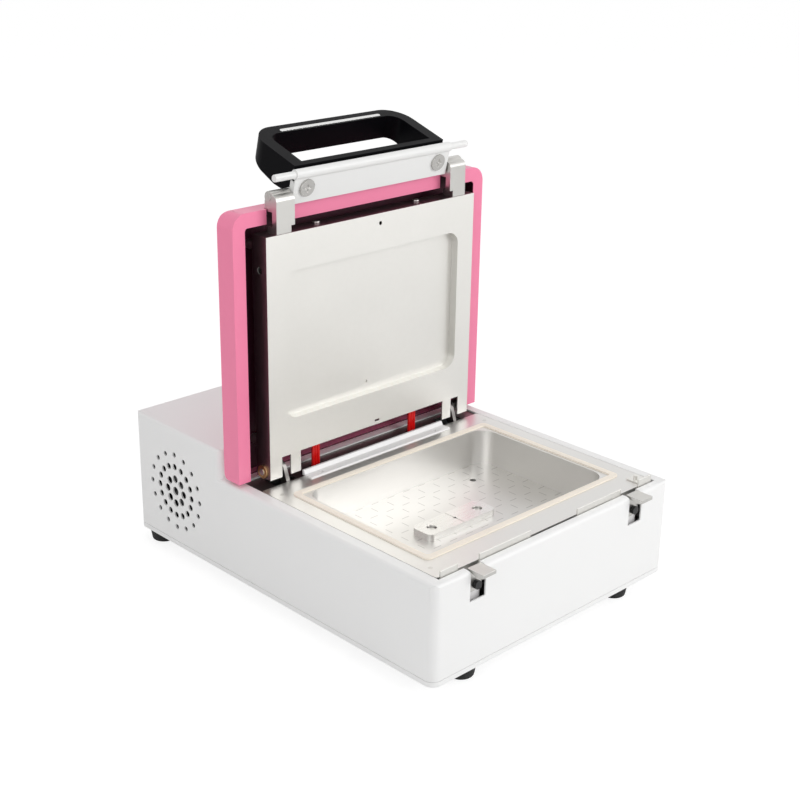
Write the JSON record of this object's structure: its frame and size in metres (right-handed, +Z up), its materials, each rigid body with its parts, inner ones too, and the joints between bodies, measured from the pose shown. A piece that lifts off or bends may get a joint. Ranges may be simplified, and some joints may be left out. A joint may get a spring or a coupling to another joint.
{
  "type": "vacuum heat press",
  "caption": "Box-shaped heat press with a gasketed aluminium vacuum chamber, a hinged heater lid and a bail handle lever that hooks under two latch tabs.",
  "frame": {"origin": "centre of the bounding box on the plane under the feet", "axes": "+X to the machine's right seen from its front, +Y to the back, +Z up; lid open"},
  "size_m": [0.3, 0.4146, 0.4035],
  "materials": {
    "case_white": "satin powder coat",
    "lid_pink": "satin powder coat",
    "chamber_alu": "milled",
    "tray_alu": "satin",
    "steel": "satin",
    "bright": "polished",
    "silicone": "matt",
    "black_rubber": "matt",
    "black_plastic": "fine grain",
    "white_plastic": "fine grain",
    "panel": "satin",
    "display": "gloss",
    "brass": "turned",
    "board": "solder mask",
    "red_wire": "satin",
    "hose": "translucent silicone",
    "valve_blue": "satin",
    "red_plastic": "gloss",
    "fibre": "felted",
    "mat": "matt"
  },
  "bodies": {
    "base": {"case_shell": "case_white", "bottom_tray": "case_white", "rubber_feet": "black_rubber", "foot_screws": "steel", "vacuum_chamber": "chamber_alu", "chamber_gasket": "silicone", "chamber_posts": "steel", "front_strips": "tray_alu", "rear_rail": "case_white", "hinge_cover": "steel", "locating_block": "chamber_alu", "block_screws": "steel", "latch_hook_left": "steel", "latch_hook_right": "steel", "latch_brackets": "steel", "latch_screws": "black_plastic", "hinge_arms": "steel", "hinge_pins": "steel", "hinge_springs": "steel", "fan_frame": "black_plastic", "fan_screws": "steel", "pump_motor": "steel", "pump_head": "black_plastic", "pump_mounts": "black_rubber", "vacuum_hose": "hose", "release_valve": "valve_blue", "control_board": "board", "control_panel": "panel", "display_window": "display", "power_supply": "tray_alu", "heater_relay": "black_plastic", "heater_terminals": "white_plastic", "power_inlet": "black_plastic", "switch_frame": "black_plastic", "rear_screws": "steel", "wires_base": "red_wire"},
    "fan": {"fan_rotor": "black_plastic"},
    "rocker": {"power_rocker": "red_plastic"},
    "key_set": {"button_set": "white_plastic"},
    "key_up": {"button_up": "white_plastic"},
    "key_down": {"button_down": "white_plastic"},
    "key_start": {"button_start": "red_plastic"},
    "lid": {"lid_shell": "lid_pink", "heater_tray": "tray_alu", "heating_plate": "chamber_alu", "heater_mat": "mat", "insulation_pad": "fibre", "tray_posts": "steel", "tray_screws": "steel", "hinge_bushes": "brass", "lever_clevises": "steel", "lever_pins": "steel", "thermostat": "black_plastic", "wires_lid": "red_wire"},
    "lever": {"lever_plate": "tray_alu", "lever_rod": "steel", "handle_grip": "black_plastic", "handle_trim": "bright", "handle_screws": "bright"}
  },
  "joints": [
    {"name": "lid_hinge", "type": "hinge", "parent": "base", "child": "lid", "pos_m": [0, 0.043, 0.1152], "axis": [1, 0, 0], "range_deg": [0, 90]},
    {"name": "lever_pivot", "type": "hinge", "parent": "lid", "child": "lever", "pos_m": [0, 0.044, 0.3592], "axis": [1, 0, 0], "range_deg": [-25, 65.5]},
    {"name": "fan_spin", "type": "hinge", "parent": "base", "child": "fan", "pos_m": [-0.136, 0.143, 0.0694], "axis": [1, 0, 0], "continuous": true},
    {"name": "rocker_tilt", "type": "hinge", "parent": "base", "child": "rocker", "pos_m": [0.045, 0.197, 0.058], "axis": [1, 0, 0], "range_deg": [-14, 0]},
    {"name": "set_press", "type": "slide", "parent": "base", "child": "key_set", "axis": [0, 0, -1], "range_m": [0, 0.0012], "stiffness_N_per_m": 400},
    {"name": "up_press", "type": "slide", "parent": "base", "child": "key_up", "axis": [0, 0, -1], "range_m": [0, 0.0012], "stiffness_N_per_m": 400},
    {"name": "down_press", "type": "slide", "parent": "base", "child": "key_down", "axis": [0, 0, -1], "range_m": [0, 0.0012], "stiffness_N_per_m": 400},
    {"name": "start_press", "type": "slide", "parent": "base", "child": "key_start", "axis": [0, 0, -1], "range_m": [0, 0.0012], "stiffness_N_per_m": 400}
  ]
}
